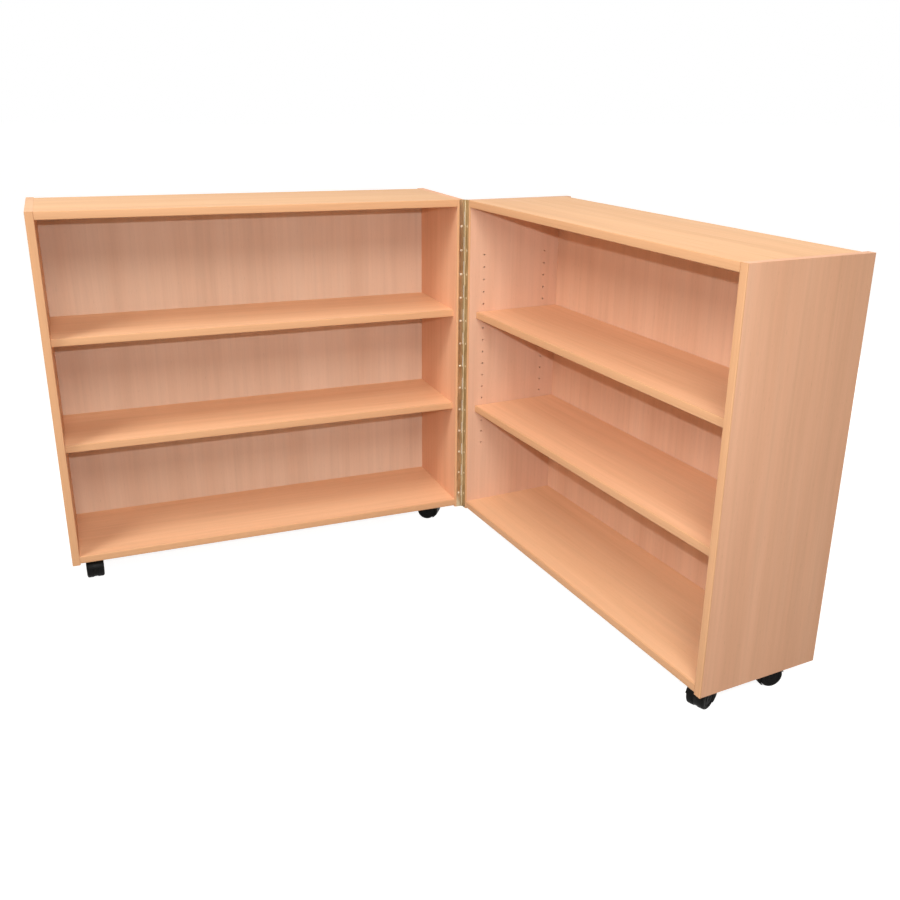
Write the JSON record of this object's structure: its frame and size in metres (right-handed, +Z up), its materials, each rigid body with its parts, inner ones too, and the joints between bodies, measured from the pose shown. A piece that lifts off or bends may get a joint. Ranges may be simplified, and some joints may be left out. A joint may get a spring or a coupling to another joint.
{
  "type": "folding bookcase",
  "caption": "Low mobile bookcase of two open shelving cases on twin-wheel castors, joined by a full-height piano hinge so that they fold face to face.",
  "frame": {"origin": "on the floor, under the middle of the half-open bookcase's bounding box", "axes": "+X along the left case's width towards the hinge, +Y towards the left case's back, +Z up"},
  "size_m": [1.3964, 1.3107, 0.893],
  "materials": {
    "beech_laminate": "satin pale beech laminate, fine straight grain",
    "beech_back": "satin pale beech laminate, upright grain",
    "beech_edging": "satin beech edging",
    "dowel_wood": "plain hardwood",
    "hinge_brass": "dull brassed steel strip",
    "screw_steel": "nickelled screw heads",
    "pin_steel": "dull steel wire",
    "stem_steel": "zinc-plated steel",
    "axle_steel": "plain steel",
    "support_steel": "nickel-plated",
    "castor_black": "black nylon",
    "wheel_black": "black nylon tread"
  },
  "bodies": {
    "left_case": {"left_hinge_side": "beech_laminate", "left_outer_side": "beech_laminate", "left_top": "beech_laminate", "left_bottom": "beech_laminate", "left_back": "beech_back", "left_lippings": "beech_edging", "left_dowels": "dowel_wood", "left_castor_stems": "stem_steel", "left_hinge_screws": "screw_steel", "left_hinge_leaf": "hinge_brass", "left_upper_shelf": "beech_laminate", "left_lower_shelf": "beech_laminate", "hinge_pin": "pin_steel"},
    "right_case": {"right_hinge_side": "beech_laminate", "right_outer_side": "beech_laminate", "right_top": "beech_laminate", "right_bottom": "beech_laminate", "right_back": "beech_back", "right_lippings": "beech_edging", "right_dowels": "dowel_wood", "right_castor_stems": "stem_steel", "right_hinge_screws": "screw_steel", "right_hinge_leaf": "hinge_brass", "right_shelf_supports": "support_steel"},
    "right_upper_shelf": {"right_upper_shelf": "beech_laminate", "right_upper_shelf_lipping": "beech_edging"},
    "right_lower_shelf": {"right_lower_shelf": "beech_laminate", "right_lower_shelf_lipping": "beech_edging"},
    "left_front_outer_castor": {"left_front_outer_castor_hood": "castor_black", "left_front_outer_castor_axle": "axle_steel"},
    "left_front_outer_wheels": {"left_front_outer_castor_wheels": "wheel_black"},
    "left_front_hinge_castor": {"left_front_hinge_castor_hood": "castor_black", "left_front_hinge_castor_axle": "axle_steel"},
    "left_front_hinge_wheels": {"left_front_hinge_castor_wheels": "wheel_black"},
    "left_rear_outer_castor": {"left_rear_outer_castor_hood": "castor_black", "left_rear_outer_castor_axle": "axle_steel"},
    "left_rear_outer_wheels": {"left_rear_outer_castor_wheels": "wheel_black"},
    "left_rear_hinge_castor": {"left_rear_hinge_castor_hood": "castor_black", "left_rear_hinge_castor_axle": "axle_steel"},
    "left_rear_hinge_wheels": {"left_rear_hinge_castor_wheels": "wheel_black"},
    "right_front_outer_castor": {"right_front_outer_castor_hood": "castor_black", "right_front_outer_castor_axle": "axle_steel"},
    "right_front_outer_wheels": {"right_front_outer_castor_wheels": "wheel_black"},
    "right_front_hinge_castor": {"right_front_hinge_castor_hood": "castor_black", "right_front_hinge_castor_axle": "axle_steel"},
    "right_front_hinge_wheels": {"right_front_hinge_castor_wheels": "wheel_black"},
    "right_rear_outer_castor": {"right_rear_outer_castor_hood": "castor_black", "right_rear_outer_castor_axle": "axle_steel"},
    "right_rear_outer_wheels": {"right_rear_outer_castor_wheels": "wheel_black"},
    "right_rear_hinge_castor": {"right_rear_hinge_castor_hood": "castor_black", "right_rear_hinge_castor_axle": "axle_steel"},
    "right_rear_hinge_wheels": {"right_rear_hinge_castor_wheels": "wheel_black"}
  },
  "joints": [
    {"name": "case_fold", "type": "hinge", "parent": "left_case", "child": "right_case", "pos_m": [0.31452, 0.35373, 0], "axis": [0, 0, 1], "range_deg": [-94.7, 85.3]},
    {"name": "right_upper_shelf_draw", "type": "slide", "parent": "right_case", "child": "right_upper_shelf", "axis": [-0.9966, -0.0819, 0], "range_m": [0, 0.3]},
    {"name": "right_lower_shelf_draw", "type": "slide", "parent": "right_case", "child": "right_lower_shelf", "axis": [-0.9966, -0.0819, 0], "range_m": [0, 0.3]},
    {"name": "left_front_outer_castor_swivel", "type": "hinge", "parent": "left_case", "child": "left_front_outer_castor", "pos_m": [-0.64818, 0.41843, 0.0525], "axis": [0, 0, 1], "continuous": true},
    {"name": "left_front_outer_wheels_roll", "type": "hinge", "parent": "left_front_outer_castor", "child": "left_front_outer_wheels", "pos_m": [-0.6486, 0.39443, 0.025], "axis": [-0.9998, 0.0175, 0], "continuous": true},
    {"name": "left_front_hinge_castor_swivel", "type": "hinge", "parent": "left_case", "child": "left_front_hinge_castor", "pos_m": [0.26182, 0.41843, 0.0525], "axis": [0, 0, 1], "continuous": true},
    {"name": "left_front_hinge_wheels_roll", "type": "hinge", "parent": "left_front_hinge_castor", "child": "left_front_hinge_wheels", "pos_m": [0.24216, 0.43219, 0.025], "axis": [0.5736, 0.8192, 0], "continuous": true},
    {"name": "left_rear_outer_castor_swivel", "type": "hinge", "parent": "left_case", "child": "left_rear_outer_castor", "pos_m": [-0.64818, 0.55143, 0.0525], "axis": [0, 0, 1], "continuous": true},
    {"name": "left_rear_outer_wheels_roll", "type": "hinge", "parent": "left_rear_outer_castor", "child": "left_rear_outer_wheels", "pos_m": [-0.62593, 0.54244, 0.025], "axis": [-0.3746, -0.9272, 0], "continuous": true},
    {"name": "left_rear_hinge_castor_swivel", "type": "hinge", "parent": "left_case", "child": "left_rear_hinge_castor", "pos_m": [0.26182, 0.55143, 0.0525], "axis": [0, 0, 1], "continuous": true},
    {"name": "left_rear_hinge_wheels_roll", "type": "hinge", "parent": "left_rear_hinge_castor", "child": "left_rear_hinge_wheels", "pos_m": [0.24192, 0.53801, 0.025], "axis": [-0.5592, 0.829, 0], "continuous": true},
    {"name": "right_front_outer_castor_swivel", "type": "hinge", "parent": "right_case", "child": "right_front_outer_castor", "pos_m": [0.45788, -0.60043, 0.0525], "axis": [0, 0, 1], "continuous": true},
    {"name": "right_front_outer_wheels_roll", "type": "hinge", "parent": "right_front_outer_castor", "child": "right_front_outer_wheels", "pos_m": [0.43608, -0.61046, 0.025], "axis": [-0.4179, 0.9085, 0], "continuous": true},
    {"name": "right_front_hinge_castor_swivel", "type": "hinge", "parent": "right_case", "child": "right_front_hinge_castor", "pos_m": [0.38332, 0.30651, 0.0525], "axis": [0, 0, 1], "continuous": true},
    {"name": "right_front_hinge_wheels_roll", "type": "hinge", "parent": "right_front_hinge_castor", "child": "right_front_hinge_wheels", "pos_m": [0.40704, 0.31014, 0.025], "axis": [0.1513, -0.9885, 0], "continuous": true},
    {"name": "right_rear_outer_castor_swivel", "type": "hinge", "parent": "right_case", "child": "right_rear_outer_castor", "pos_m": [0.59044, -0.58954, 0.0525], "axis": [0, 0, 1], "continuous": true},
    {"name": "right_rear_outer_wheels_roll", "type": "hinge", "parent": "right_rear_outer_castor", "child": "right_rear_outer_wheels", "pos_m": [0.61405, -0.59383, 0.025], "axis": [-0.1788, -0.9839, 0], "continuous": true},
    {"name": "right_rear_hinge_castor_swivel", "type": "hinge", "parent": "right_case", "child": "right_rear_hinge_castor", "pos_m": [0.51587, 0.3174, 0.0525], "axis": [0, 0, 1], "continuous": true},
    {"name": "right_rear_hinge_wheels_roll", "type": "hinge", "parent": "right_rear_hinge_castor", "child": "right_rear_hinge_wheels", "pos_m": [0.49383, 0.3269, 0.025], "axis": [0.3955, 0.9184, 0], "continuous": true}
  ]
}
